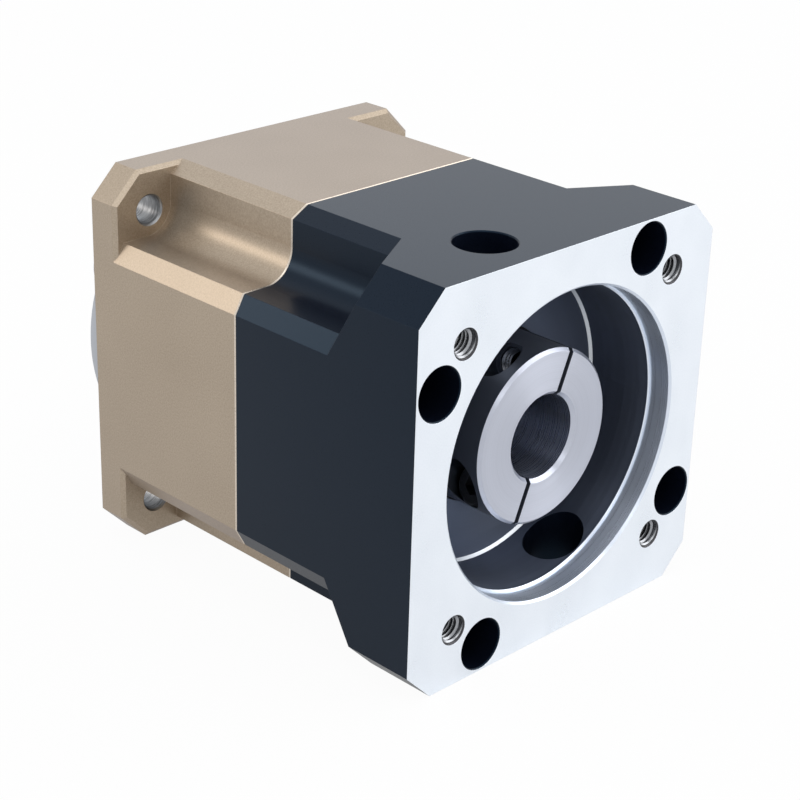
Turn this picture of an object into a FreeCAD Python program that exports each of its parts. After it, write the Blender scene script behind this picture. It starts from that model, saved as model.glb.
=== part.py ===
# Planetary gearbox, single stage, square flange.
# Frame: +Y runs along the gear axis towards the output shaft, +Z is up, +X completes the frame.
# The origin lies on the gear axis in the output mounting face. All sizes are in millimetres.
import FreeCAD
import Part
import Sketcher
import math
import os

from FreeCAD import Placement, Rotation, Vector

doc = FreeCAD.newDocument("planetary_gearbox")
sheet = doc.addObject("Spreadsheet::Sheet", "sizes")

# Driving sizes, grouped by the piece that they belong to.
SIZES = {
    # outside of both housings
    "side_wall": 5.0,
    "corner_leg": 6.8,
    "notch_radius": 7.0,
    "case_wall": 4.4,
    "strip_run": 4.25,
    "strip_drop": 2.4,
    # gold output housing
    "ear_depth": 7.1,
    "ear_bevel": 0.9,
    "ear_room": 10.0,
    "ear_hole_radius": 3.3,
    "hole_chamfer": 0.4,
    "parting_bevel": 0.5,
    "seal_shoulder": 2.0,
    "pilot_set_in": 5.0,
    "pilot_length": 10.0,
    "pilot_chamfer": 0.8,
    # black input adapter
    "ring_seat_depth": 5.3,
    "flange_corner_depth": 17.3,
    "flange_slant": 40.0,
    "motor_pilot_radius": 35.0,
    "motor_pilot_depth": 5.5,
    "motor_pilot_chamfer": 0.5,
    "ledge_width": 0.3,
    "ledge_slope": 0.3,
    "recess_step": 0.6,
    "recess_depth": 22.4,
    "recess_chamfer": 0.6,
    "floor_lip": 1.2,
    "motor_circle_radius": 45.0,
    "motor_thread_radius": 3.0,
    "motor_thread_depth": 16.0,
    "access_radius": 6.75,
    "access_chamfer": 0.25,
    # screws that hold the adapter to the housing
    "case_screw_radius": 3.0,
    "case_screw_head_radius": 5.0,
    "case_screw_head_height": 6.0,
    "case_screw_well_radius": 5.7,
    "case_screw_well_reach": 2.6,
    "case_screw_reach": 11.0,
    "case_screw_turn": 59.0,
    "screw_seat_wall": 2.0,
    "screw_play": 0.3,
    "thread_play": 0.1,
    "thread_runout": 2.0,
    "screw_head_chamfer": 0.4,
    "screw_point_chamfer": 0.7,
    "socket_width_share": 0.56,
    "socket_depth_share": 0.55,
    # gears
    "gear_module": 1.0,
    "sun_teeth": 18,
    "planet_teeth": 27,
    "pressure_angle": 20.0,
    "root_depth": 1.25,
    "tooth_gap": 0.06,
    "planet_width": 16.0,
    "ring_wall": 2.75,
    "ring_overlap": 2.0,
    # planet carrier and output shaft
    "front_plate": 6.0,
    "rear_plate": 4.0,
    "carrier_gap": 1.0,
    "carrier_chamfer": 0.5,
    "window_gap": 0.8,
    "sun_room": 1.5,
    "pin_radius": 5.0,
    "pin_chamfer": 0.5,
    "pin_set_back": 0.2,
    "needle_radius": 1.25,
    "needle_set_back": 2.0,
    "needle_count": 12,
    "roller_play": 0.04,
    "roller_end_play": 0.1,
    "needle_cage_set_back": 0.5,
    "needle_cage_inner_share": 0.6,
    "needle_cage_outer_share": 1.5,
    "washer_thickness": 0.4,
    "washer_rim": 2.0,
    "washer_gap": 0.1,
    "output_radius": 11.0,
    "shoulder_reach": 1.0,
    "shaft_chamfer": 1.0,
    "key_width": 6.0,
    "key_height": 6.0,
    "key_length": 28.0,
    "key_depth": 3.5,
    "key_from_shoulder": 5.0,
    "key_from_end": 4.0,
    "key_play": 0.01,
    "centre_thread_radius": 4.0,
    "centre_thread_depth": 19.0,
    "drill_point_share": 0.6,
    # front and rear output bearings
    "shaft_step": 6.5,
    "front_section": 10.0,
    "front_width": 10.0,
    "front_ball_count": 13,
    "rear_bore_step": 2.5,
    "rear_outer_step": 3.5,
    "rear_width": 12.0,
    "rear_ball_count": 14,
    "bearing_spacing": 4.0,
    "ball_share": 0.3,
    "race_share": 0.3,
    "race_play": 0.05,
    "race_chamfer": 0.5,
    "cage_thickness": 1.6,
    "cage_rim": 0.8,
    "bearing_stop": 0.3,
    # input bearing
    "input_bearing_step": 2.5,
    "input_section": 12.5,
    "input_width": 13.0,
    "input_ball_count": 11,
    # seals
    "seal_thickness": 7.0,
    "output_seal_step": 1.5,
    "input_seal_step": 2.5,
    "seal_lip_play": 0.05,
    "seal_edge": 0.3,
    "seal_set_back": 1.0,
    "seal_wall_share": 0.24,
    "seal_neck_share": 0.187,
    "seal_bevel_share": 0.15,
    "seal_heel_share": 0.32,
    "seal_back_share": 0.133,
    "seal_bevel_place": 0.28,
    "seal_lip_place": 0.52,
    "seal_heel_start": 0.42,
    "seal_heel_end": 0.78,
    "seal_back_place": 0.82,
    "spring_radius": 0.55,
    "spring_rise": 0.18,
    "spring_place": 0.62,
    "spring_play": 0.02,
    # retaining rings
    "ring_thickness": 1.5,
    "ring_groove": 1.1,
    "ring_groove_share": 0.9,
    "ring_band_share": 0.24,
    "ring_side_play": 0.05,
    "ring_room": 1.4,
    "lug_radius_share": 0.152,
    "lug_reach_share": 0.032,
    "lug_eye_share": 0.072,
    "lug_angle": 11.0,
    "ring_mouth": 3.4,
    # seal ring between the housings
    "case_seal_radius": 0.56,
    "case_seal_play": 0.03,
    # input shaft with its split clamping hub
    "hub_set_back": 5.9,
    "hub_wall": 1.2,
    "hub_step": 2.3,
    "hub_gap": 0.8,
    "hub_play": 0.4,
    "hub_chamfer": 0.7,
    "motor_shaft_radius": 9.5,
    "stub_gap": 0.7,
    "slit_width": 1.35,
    "slit_end": 1.3,
    "slit_turn": 67.5,
    "clamp_screw_wall": 1.1,
    "clamp_screw_set_back": 7.0,
    "clamp_screw_radius": 3.0,
    "clamp_head_radius": 4.6,
    "clamp_head_height": 4.5,
    "clamp_well_radius": 5.0,
    "clamp_seat": 4.2,
    "clamp_screw_reach": 5.4,
    "clamp_relief_radius": 4.0,
    "clamp_relief_floor": 9.5,
    "bore_chamfer": 0.8,
    "bore_relief_depth": 0.3,
    "bore_relief_width": 2.0,
    "shaft_overhang": 0.8,
    "shaft_gap": 0.9,
    "sun_stub_radius": 7.0,
    "sun_stub_length": 10.0,
}
# Sizes that follow from the driving ones. Each formula may use any name above it.
DERIVED = {
    # gear circles
    "ring_teeth": "sun_teeth + 2 * planet_teeth",
    "gear_centres": "gear_module * (sun_teeth + planet_teeth) / 2",
    "planet_tip": "gear_module * (planet_teeth / 2 + 1)",
    "ring_tip": "gear_module * (ring_teeth / 2 - 1)",
    "ring_root": "gear_module * (ring_teeth / 2 + root_depth)",
    "ring_outer": "ring_root + ring_wall",
    "sun_room_radius": "gear_module * (sun_teeth / 2 + 1) + sun_room",
    "washer_radius": "pin_radius + 2 * needle_radius + washer_rim",
    # outside of both housings
    "half_width": "ring_outer + side_wall",
    "body_width": "2 * half_width",
    "notch": "(ring_outer + case_wall + notch_radius) / sqrt(2) - notch_radius",
    "flat_end": "notch - strip_run",
    "corner_reach": "(body_width - corner_leg) / sqrt(2)",
    "ear_circle": "ring_outer + ear_room",
    "case_circle": "ring_outer + screw_seat_wall + case_screw_radius",
    "pilot_radius": "half_width - pilot_set_in",
    "recess_radius": "motor_pilot_radius - recess_step",
    # output shaft, carrier and bearings
    "front_bore": "output_radius + shaft_step",
    "front_outer": "front_bore + front_section",
    "rear_bore": "front_bore + rear_bore_step",
    "rear_outer": "front_outer + rear_outer_step",
    "rear_shoulder": "rear_bore + (rear_outer - rear_bore) * race_share",
    "output_seal_radius": "front_outer - output_seal_step",
    "carrier_radius": "ring_tip - carrier_gap",
    # input shaft and its bearing
    "clamp_screw_offset": "motor_shaft_radius + clamp_screw_radius + clamp_screw_wall",
    "hub_radius": "clamp_screw_offset + clamp_well_radius + hub_wall",
    "input_seal_bore": "hub_radius - hub_step",
    "input_bore": "input_seal_bore - input_bearing_step",
    "input_outer": "input_bore + input_section",
    "input_seal_radius": "input_outer - input_seal_step",
    # places along the gear axis, from the output towards the input
    "output_shoulder": "pilot_length + shoulder_reach",
    "output_end": "output_shoulder + key_from_shoulder + key_length + key_from_end",
    "key_start": "output_shoulder + key_from_shoulder",
    "output_seal_back": "pilot_length - seal_set_back - seal_thickness",
    "front_front": "output_seal_back - ring_room - ring_thickness",
    "front_back": "front_front - front_width",
    "rear_front": "front_back - bearing_spacing",
    "rear_back": "rear_front - rear_width",
    "carrier_front": "rear_back - carrier_gap / 2",
    "planet_front": "carrier_front - front_plate - washer_thickness - washer_gap",
    "planet_back": "planet_front - planet_width",
    "carrier_back": "planet_back - washer_gap - washer_thickness - rear_plate",
    "ring_front": "planet_front + ring_overlap / 2",
    "ring_back": "planet_back - ring_overlap * 2",
    "parting": "ring_back + ring_seat_depth",
    "shaft_end": "carrier_back - shaft_gap",
    "input_bearing_back": "shaft_end - shaft_overhang - ring_thickness",
    "input_bearing_front": "input_bearing_back - input_width",
    "input_seal_front": "input_bearing_front - bearing_stop - seal_thickness",
    "recess_floor": "input_seal_front - floor_lip",
    "input_face": "recess_floor - recess_depth",
    "hub_face": "input_face + hub_set_back",
    # lengths between those places
    "housing_length": "-1 * parting",
    "adapter_length": "parting - input_face",
    "case_screw_well_depth": "recess_depth + case_screw_well_reach",
    "needle_length": "planet_width - 2 * needle_set_back",
    "hub_length": "input_seal_front - hub_face - hub_gap",
    "slit_depth": "hub_length - slit_end",
    "motor_bore_depth": "shaft_end - hub_face - sun_stub_length - stub_gap",
}
CELLS = {**SIZES, **{alias: "=" + formula for alias, formula in DERIVED.items()}}
for row, (alias, content) in enumerate(CELLS.items(), start=1):
    sheet.set(f"A{row}", alias)
    sheet.set(f"B{row}", str(content))
    sheet.setAlias(f"B{row}", alias)
doc.recompute()


def named(formula):
    """Replace each size name in a formula with its cell in the sheet."""
    words = []
    word = ""
    for letter in formula + " ":
        if letter.isalnum() or letter == "_":
            word += letter
            continue
        words.append("sizes." + word if word in CELLS else word)
        words.append(letter)
        word = ""
    return "".join(words).strip()


def number(formula):
    """Work out a formula of size names as a plain number."""
    value = sheet.evalExpression(named(formula))
    return float(getattr(value, "Value", value))


def bind(thing, prop, formula):
    thing.setExpression(prop, named(formula))


def place(thing, y="0", turn="0", axis=(0, 1, 0), x="0", z="0"):
    """Bind a part's place: its position by formulas and its turn about one axis."""
    spin = Rotation(Vector(*axis), number(turn))
    thing.Placement = Placement(Vector(number(x), number(y), number(z)), spin)
    bind(thing, "Placement.Base.x", x)
    bind(thing, "Placement.Base.y", y)
    bind(thing, "Placement.Base.z", z)
    if turn != "0":
        bind(thing, "Placement.Rotation.Angle", turn)
    return thing


def new_body(label):
    body = doc.addObject("PartDesign::Body", label)
    body.Label = label
    return body


def origin_plane(body, role):
    return [item for item in body.Origin.OriginFeatures if item.Role == role][0]


def new_sketch(body, name, role="XY_Plane", lift="0", turn="0"):
    """Lay a sketch on an origin plane, turned about the gear axis and lifted along its own normal."""
    sketch = body.newObject("Sketcher::SketchObject", name)
    sketch.AttachmentSupport = [(origin_plane(body, role), "")]
    sketch.MapMode = "FlatFace"
    spin_axis = Vector(0, 0, 1)
    across = "0"
    if role == "XY_Plane":
        spin_axis = Vector(0, 1, 0)
        across, lift = f"(({lift}) * sin({turn}))", f"(({lift}) * cos({turn}))"
    spin = Rotation(spin_axis, number(turn))
    sketch.AttachmentOffset = Placement(Vector(number(across), 0, number(lift)), spin)
    bind(sketch, "AttachmentOffset.Base.x", across)
    bind(sketch, "AttachmentOffset.Base.z", lift)
    if turn != "0":
        bind(sketch, "AttachmentOffset.Rotation.Angle", turn)
    return sketch


def pin_point(sketch, edge, end, across, along):
    """Fix one end of an edge at formulas for its two coordinates."""
    for kind, formula in (("DistanceX", across), ("DistanceY", along)):
        index = sketch.addConstraint(Sketcher.Constraint(kind, -1, 1, edge, end, number(formula)))
        bind(sketch, f"Constraints[{index}]", formula)


def arc_between(start, finish, radius):
    """An arc of a given radius: positive bulges to the right of its way, negative to the left."""
    chord = finish - start
    side = Vector(-chord.y, chord.x, 0).normalize()
    lift = math.sqrt(max(radius ** 2 - (chord.Length / 2) ** 2, 0.0))
    centre = (start + finish) / 2 + side * math.copysign(lift, radius)
    ends = [math.atan2(spot.y - centre.y, spot.x - centre.x) for spot in (start, finish)]
    if radius < 0:
        ends.reverse()
    return Part.ArcOfCircle(Part.Circle(centre, Vector(0, 0, 1), abs(radius)), ends[0], ends[1])


def draw_outline(sketch, corners):
    """Draw a closed outline. A corner is (across, along), and a third entry is the signed radius of
    the arc that leads to the next corner."""
    spots = [Vector(number(corner[0]), number(corner[1]), 0) for corner in corners]
    turned = [len(corner) == 3 and number(corner[2]) < 0 for corner in corners]
    for index, corner in enumerate(corners):
        finish = spots[(index + 1) % len(spots)]
        if len(corner) == 3:
            edge = arc_between(spots[index], finish, number(corner[2]))
        else:
            edge = Part.LineSegment(spots[index], finish)
        sketch.addGeometry(edge, False)
    for index, corner in enumerate(corners):
        after = (index + 1) % len(corners)
        pin_point(sketch, index, 2 if turned[index] else 1, corner[0], corner[1])
        own_end = 1 if turned[index] else 2
        next_start = 2 if turned[after] else 1
        sketch.addConstraint(Sketcher.Constraint("Coincident", index, own_end, after, next_start))
        if len(corner) == 3:
            size = sketch.addConstraint(Sketcher.Constraint("Radius", index, abs(number(corner[2]))))
            bind(sketch, f"Constraints[{size}]", f"abs({corner[2]})")
    return sketch


def draw_circle(sketch, across, along, radius):
    circle = Part.Circle(Vector(number(across), number(along), 0), Vector(0, 0, 1), number(radius))
    index = sketch.addGeometry(circle, False)
    pin_point(sketch, index, 3, across, along)
    size = sketch.addConstraint(Sketcher.Constraint("Radius", index, number(radius)))
    bind(sketch, f"Constraints[{size}]", radius)
    return sketch


def revolve(body, name, corners, cut=False):
    """Turn an outline of (radius, place along the axis) about the gear axis."""
    sketch = draw_outline(new_sketch(body, name + "_profile"), corners)
    feature = body.newObject("PartDesign::Groove" if cut else "PartDesign::Revolution", name)
    feature.Profile = sketch
    feature.ReferenceAxis = (sketch, ["V_Axis"])
    feature.Angle = 360.0
    return feature


def groove_round(body, name, radius, along, groove_radius):
    """Roll a round groove about the gear axis."""
    sketch = draw_circle(new_sketch(body, name + "_profile"), radius, along, groove_radius)
    feature = body.newObject("PartDesign::Groove", name)
    feature.Profile = sketch
    feature.ReferenceAxis = (sketch, ["V_Axis"])
    feature.Angle = 360.0
    return feature


def extrude(body, name, sketch, length, cut=False, back=False, taper=None):
    """Pad or pocket a sketch. Pads follow the sketch's normal and pockets go against it, unless back."""
    feature = body.newObject("PartDesign::Pocket" if cut else "PartDesign::Pad", name)
    feature.Profile = sketch
    feature.Length = number(length)
    bind(feature, "Length", length)
    feature.Reversed = back
    if taper is not None:
        feature.TaperAngle = taper
    return feature


def repeat_about_axis(body, name, features, count):
    """Repeat features evenly about the gear axis."""
    doc.recompute()
    pattern = body.newObject("PartDesign::PolarPattern", name)
    pattern.Originals = features
    pattern.Axis = (origin_plane(body, "Y_Axis"), [""])
    pattern.Angle = 360.0
    pattern.Occurrences = count
    body.Tip = pattern
    return pattern


def cylinder(name, radius, height, x="0", y="0", z="0"):
    """A round bar along the gear axis."""
    bar = doc.addObject("Part::Cylinder", name)
    bind(bar, "Radius", radius)
    bind(bar, "Height", height)
    bar.Placement = Placement(Vector(number(x), number(y), number(z)), Rotation(Vector(1, 0, 0), -90))
    bind(bar, "Placement.Base.x", x)
    bind(bar, "Placement.Base.y", y)
    bind(bar, "Placement.Base.z", z)
    return bar


def compound(label, members):
    group = doc.addObject("Part::Compound", label)
    group.Label = label
    group.Links = members
    return group


def torus(label, radius, section_radius, y):
    """A round ring about the gear axis."""
    ring = doc.addObject("Part::Torus", label)
    ring.Label = label
    bind(ring, "Radius1", radius)
    bind(ring, "Radius2", section_radius)
    ring.Placement = Placement(Vector(0, number(y), 0), Rotation(Vector(1, 0, 0), 90))
    bind(ring, "Placement.Base.y", y)
    return ring


def difference(label, base, tool):
    result = doc.addObject("Part::Cut", label)
    result.Label = label
    result.Base = base
    result.Tool = tool
    return result


def on_circle(radius, degrees):
    """Formulas for the X and Z of a point on a circle about the gear axis."""
    return f"({radius}) * cos({degrees})", f"({radius}) * sin({degrees})"


def mirrored_corners(points):
    """Repeat the outline of one corner of the square about all four corners."""
    outline = []
    for quarter in range(4):
        for point in points:
            across, along = point[0], point[1]
            for _ in range(quarter):
                across, along = f"(-1 * {along})", across
            outline.append((across, along) + tuple(point[2:]))
    return outline


FLANGE = mirrored_corners([
    ("half_width", "(half_width - corner_leg)"),
    ("(half_width - corner_leg)", "half_width"),
])
BLOCK = mirrored_corners([
    ("half_width", "flat_end"),
    ("(half_width - strip_drop)", "notch"),
    ("(notch + notch_radius)", "notch", "-1 * notch_radius"),
    ("notch", "(notch + notch_radius)"),
    ("notch", "(half_width - strip_drop)"),
    ("flat_end", "half_width"),
])


def output_housing():
    """Gold housing: square flange with four ears, relieved block, pilot and stepped bore."""
    body = new_body("output_housing")
    flange = draw_outline(new_sketch(body, "flange_outline", "XZ_Plane"), FLANGE)
    extrude(body, "flange_plate", flange, "ear_depth")
    edge = draw_outline(new_sketch(body, "flange_edge", "XZ_Plane", "ear_depth"), FLANGE)
    extrude(body, "flange_bevel", edge, "ear_bevel", taper=-45.0)
    block = draw_outline(new_sketch(body, "block_outline", "XZ_Plane"), BLOCK)
    extrude(body, "block", block, "housing_length - parting_bevel")
    rim = draw_outline(new_sketch(body, "parting_rim", "XZ_Plane", "housing_length - parting_bevel"), BLOCK)
    extrude(body, "parting_edge_bevel", rim, "parting_bevel", taper=-45.0)
    revolve(body, "pilot", [
        ("0", "-1"),
        ("pilot_radius", "-1"),
        ("pilot_radius", "pilot_length - pilot_chamfer"),
        ("pilot_radius - pilot_chamfer", "pilot_length"),
        ("0", "pilot_length"),
    ])
    revolve(body, "bore", [
        ("0", "pilot_length + 1"),
        ("output_seal_radius", "pilot_length + 1"),
        ("output_seal_radius", "output_seal_back"),
        ("output_seal_radius - seal_shoulder", "output_seal_back"),
        ("output_seal_radius - seal_shoulder", "front_front"),
        ("front_outer", "front_front"),
        ("front_outer", "rear_front"),
        ("rear_outer", "rear_front"),
        ("rear_outer", "rear_back"),
        ("(ring_tip + carrier_gap)", "rear_back"),
        ("(ring_tip + carrier_gap)", "ring_front"),
        ("ring_outer", "ring_front"),
        ("ring_outer", "(parting + screw_seat_wall)"),
        ("(ring_outer + screw_seat_wall)", "parting"),
        ("(ring_outer + screw_seat_wall)", "(parting - 1)"),
        ("0", "(parting - 1)"),
    ], cut=True)
    ears = new_sketch(body, "ear_centres", "XZ_Plane")
    wide = new_sketch(body, "ear_back_rims", "XZ_Plane", "ear_depth + ear_bevel - hole_chamfer")
    tapped = new_sketch(body, "case_screw_centres", "XZ_Plane", "housing_length")
    for quarter in range(4):
        x, z = on_circle("ear_circle", f"{45 + 90 * quarter}")
        draw_circle(ears, x, z, "ear_hole_radius")
        draw_circle(wide, x, z, "ear_hole_radius")
        x, z = on_circle("case_circle", f"(case_screw_turn + {90 * quarter})")
        draw_circle(tapped, x, z, "case_screw_radius")
    extrude(body, "ear_holes", ears, "ear_depth + ear_bevel + 1", cut=True, back=True)
    extrude(body, "ear_rims", wide, "hole_chamfer", cut=True, back=True, taper=45.0)
    extrude(body, "case_screw_holes", tapped, "case_screw_reach + thread_runout", cut=True)
    return body


def input_adapter():
    """Black adapter: square motor flange with slanted back corners, relieved block and stepped bore."""
    body = new_body("input_adapter")
    slant = "(tan(flange_slant))"
    inner = "(ring_outer + case_wall - 1)"
    inner_depth = f"(flange_corner_depth + (corner_reach - {inner}) * {slant})"
    outer = "(corner_reach + corner_leg)"
    outer_depth = f"(flange_corner_depth - corner_leg * {slant})"
    flange = draw_outline(new_sketch(body, "motor_flange_outline", "XZ_Plane"), FLANGE)
    extrude(body, "motor_flange", flange, inner_depth, back=True)
    wedge = draw_outline(new_sketch(body, "slant_outline", "XY_Plane", "0", "45"), [
        (inner, inner_depth),
        (outer, outer_depth),
        (outer, f"({inner_depth} + 5)"),
        (inner, f"({inner_depth} + 5)"),
    ])
    cut = extrude(body, "slanted_back", wedge, "2 * body_width", cut=True)
    cut.SideType = "Symmetric"
    bind(cut, "Length", "2 * body_width")
    repeat_about_axis(body, "slanted_backs", [cut], 4)
    block = draw_outline(new_sketch(body, "adapter_block_outline", "XZ_Plane"), BLOCK)
    extrude(body, "adapter_block", block, "adapter_length", back=True)
    seal = "(input_seal_front - input_face)"
    bearing = "(input_bearing_front - input_face)"
    clip = "(input_bearing_back - input_face)"
    chamber = f"({clip} + ring_thickness + carrier_gap / 2)"
    ring_seat = "(ring_back - input_face)"
    revolve(body, "stepped_bore", [
        ("0", "-1"),
        ("motor_pilot_radius + motor_pilot_chamfer", "-1"),
        ("motor_pilot_radius + motor_pilot_chamfer", "0"),
        ("motor_pilot_radius", "motor_pilot_chamfer"),
        ("motor_pilot_radius", "motor_pilot_depth"),
        ("motor_pilot_radius - ledge_width", "motor_pilot_depth"),
        ("recess_radius", "motor_pilot_depth + ledge_slope"),
        ("recess_radius", "recess_depth - recess_chamfer"),
        ("recess_radius - recess_chamfer", "recess_depth"),
        ("hub_radius + hub_play", "recess_depth"),
        ("hub_radius + hub_play", seal),
        ("input_seal_radius", seal),
        ("input_seal_radius", bearing),
        ("input_outer", bearing),
        ("input_outer", clip),
        ("input_outer + ring_groove", clip),
        ("input_outer + ring_groove", f"({clip} + ring_thickness)"),
        ("input_outer", f"({clip} + ring_thickness)"),
        ("input_outer", chamber),
        ("(ring_tip + carrier_gap)", chamber),
        ("(ring_tip + carrier_gap)", ring_seat),
        ("ring_outer", ring_seat),
        ("ring_outer", "adapter_length + 1"),
        ("0", "adapter_length + 1"),
    ], cut=True)
    top = draw_circle(new_sketch(body, "top_access"), "-1 * clamp_screw_offset",
                      "hub_set_back + clamp_screw_set_back", "access_radius")
    extrude(body, "top_access_hole", top, "body_width", cut=True, back=True)
    low = draw_circle(new_sketch(body, "bottom_access"), "clamp_screw_offset",
                      "hub_set_back + clamp_screw_set_back", "access_radius")
    extrude(body, "bottom_access_hole", low, "body_width", cut=True)
    top_rim = draw_circle(new_sketch(body, "top_access_rim", "XY_Plane", "half_width"),
                          "-1 * clamp_screw_offset", "hub_set_back + clamp_screw_set_back",
                          "(access_radius + access_chamfer)")
    extrude(body, "top_access_cone", top_rim, "access_chamfer", cut=True, taper=-45.0)
    low_rim = draw_circle(new_sketch(body, "bottom_access_rim", "XY_Plane", "(-1 * half_width)"),
                          "clamp_screw_offset", "hub_set_back + clamp_screw_set_back",
                          "(access_radius + access_chamfer)")
    extrude(body, "bottom_access_cone", low_rim, "access_chamfer", cut=True, back=True, taper=-45.0)
    threads = new_sketch(body, "motor_screw_centres", "XZ_Plane")
    rims = new_sketch(body, "motor_screw_rims", "XZ_Plane")
    wells = new_sketch(body, "case_screw_wells", "XZ_Plane")
    well_rims = new_sketch(body, "case_screw_well_rims", "XZ_Plane")
    shanks = new_sketch(body, "case_screw_shanks", "XZ_Plane", "-1 * case_screw_well_depth")
    for quarter in range(4):
        x, z = on_circle("motor_circle_radius", f"{45 + 90 * quarter}")
        draw_circle(threads, x, z, "motor_thread_radius")
        draw_circle(rims, x, z, "(motor_thread_radius + hole_chamfer)")
        x, z = on_circle("case_circle", f"(case_screw_turn + {90 * quarter})")
        draw_circle(wells, x, z, "case_screw_well_radius")
        draw_circle(well_rims, x, z, "(case_screw_well_radius + access_chamfer)")
        draw_circle(shanks, x, z, "(case_screw_radius + screw_play)")
    extrude(body, "motor_screw_holes", threads, "motor_thread_depth", cut=True)
    extrude(body, "motor_screw_rim_cones", rims, "hole_chamfer", cut=True, taper=-45.0)
    extrude(body, "case_screw_well_holes", wells, "case_screw_well_depth", cut=True)
    extrude(body, "case_screw_well_cones", well_rims, "access_chamfer", cut=True, taper=-45.0)
    extrude(body, "case_screw_shank_holes", shanks, "adapter_length", cut=True)
    place(body, "input_face")
    return body


def case_screws():
    """Four socket-head screws that clamp the adapter to the housing through its deep wells."""
    screws = []
    for quarter in range(4):
        x, z = on_circle("case_circle", f"(case_screw_turn + {90 * quarter})")
        length = "adapter_length - case_screw_well_depth + case_screw_reach"
        screw = socket_screw(f"case_screw_{quarter + 1}", "case_screw_radius", "case_screw_head_radius",
                             "case_screw_head_height", length)
        screws.append(place(screw, "(input_face + case_screw_well_depth)", x=x, z=z))
    return compound("case_screws", screws)


def socket_screw(name, radius, head_radius, head_height, length):
    """A socket-head screw whose head seats at the origin and whose shank runs along +Y."""
    body = new_body(name)
    shank = f"({radius} - thread_play)"
    revolve(body, name + "_blank", [
        ("0", f"(-1 * {head_height})"),
        (f"({head_radius} - screw_head_chamfer)", f"(-1 * {head_height})"),
        (head_radius, f"(-1 * {head_height} + screw_head_chamfer)"),
        (head_radius, "0"),
        (shank, "0"),
        (shank, f"({length} - screw_point_chamfer)"),
        (f"({shank} - screw_point_chamfer)", length),
        ("0", length),
    ])
    flats = new_sketch(body, name + "_socket", "XZ_Plane", head_height)
    across = f"({head_radius} * socket_width_share)"
    draw_outline(flats, [on_circle(across, f"{60 * side}") for side in range(6)])
    extrude(body, name + "_socket_cut", flats, f"({head_height} * socket_depth_share)", cut=True)
    return body


def half_angle(teeth, radius, sign):
    """Half the angle of a tooth (sign -1) or of an internal tooth space (sign +1) at a radius."""
    module = number("gear_module")
    pressure = math.radians(number("pressure_angle"))
    pitch = module * teeth / 2
    base = pitch * math.cos(pressure)
    local = math.acos(min(1.0, base / radius))
    involute = (math.tan(pressure) - pressure) - (math.tan(local) - local)
    return math.pi / (2 * teeth) + involute + sign * number("tooth_gap") / pitch


def polar(radius, angle):
    return Vector(radius * math.cos(angle), 0, radius * math.sin(angle))


# A flank starts a touch outside the base circle and is drawn through one point more than its steps.
FLANK_START = 1.002
FLANK_STEPS = 4


def gear_face(teeth, tip, root, sign):
    """Outline of all teeth as a flat face: involute flanks, tip and root arcs."""
    base = number("gear_module") * teeth / 2 * math.cos(math.radians(number("pressure_angle")))
    inner, outer = min(tip, root), max(tip, root)
    start = max(inner, base * FLANK_START)
    pitch_angle = 2 * math.pi / teeth
    radii = [start + (outer - start) * step / FLANK_STEPS for step in range(FLANK_STEPS + 1)]
    edges = []
    for tooth in range(teeth):
        middle = tooth * pitch_angle
        rise = [polar(r, middle - half_angle(teeth, r, sign)) for r in radii]
        fall = [polar(r, middle + half_angle(teeth, r, sign)) for r in reversed(radii)]
        foot_angle = half_angle(teeth, start, sign)
        foot_in = polar(inner, middle - foot_angle)
        foot_out = polar(inner, middle + foot_angle)
        if start > inner:
            edges.append(Part.makeLine(foot_in, rise[0]))
        edges.append(flank(rise))
        edges.append(Part.Arc(rise[-1], polar(outer, middle), fall[0]).toShape())
        edges.append(flank(fall))
        if start > inner:
            edges.append(Part.makeLine(fall[-1], foot_out))
        next_foot = polar(inner, middle + pitch_angle - foot_angle)
        edges.append(Part.Arc(foot_out, polar(inner, middle + pitch_angle / 2), next_foot).toShape())
    return Part.Face(Part.Wire(edges))


def flank(points):
    curve = Part.BSplineCurve()
    curve.interpolate(points)
    return curve.toShape()


def feature(label, shape):
    """A piece whose exact shape is worked out from the sizes in the sheet."""
    item = doc.addObject("Part::Feature", label)
    item.Label = label
    item.Shape = shape
    return item


def round_bar(radius, start, finish):
    return Part.makeCylinder(radius, finish - start, Vector(0, start, 0), Vector(0, 1, 0))


def ring_gear():
    """Internal gear that both housings clamp between their shoulders."""
    width = number("ring_front - ring_back")
    module = number("gear_module")
    teeth = int(number("ring_teeth"))
    space = gear_face(teeth, number("ring_root"), module * (teeth / 2 - 1), 1)
    rim = round_bar(number("ring_outer"), 0, width)
    ring = feature("ring_gear", rim.cut(space.extrude(Vector(0, width, 0))))
    return place(ring, "ring_back")


def sun_gear():
    """Sun pinion with a neck and a stub that is pressed into the input shaft."""
    module = number("gear_module")
    teeth = int(number("sun_teeth"))
    tip = module * (teeth / 2 + 1)
    root = module * (teeth / 2 - number("root_depth"))
    neck = number("planet_back - carrier_back")
    below = number("sun_stub_length + carrier_back - shaft_end")
    width = number("planet_width")
    toothed = gear_face(teeth, tip, root, -1).extrude(Vector(0, width, 0))
    stub = round_bar(number("sun_stub_radius"), -neck - below, 0.5)
    sun = feature("sun_gear", toothed.fuse(stub))
    return place(sun, "planet_back", "-90")


def planet_gear(index):
    """Planet gear on its own pin, with one tooth pointing straight out into the ring gear."""
    module = number("gear_module")
    teeth = int(number("planet_teeth"))
    tip = module * (teeth / 2 + 1)
    root = module * (teeth / 2 - number("root_depth"))
    width = number("planet_width")
    toothed = gear_face(teeth, tip, root, -1).extrude(Vector(0, width, 0))
    bore = round_bar(number("pin_radius + 2 * needle_radius"), -1, width + 1)
    planet = feature(f"planet_gear_{index + 1}", toothed.cut(bore))
    angle = f"{90 + 120 * index}"
    x, z = on_circle("gear_centres", angle)
    return place(planet, "planet_back", f"(-1 * {angle})", x=x, z=z)


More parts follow.
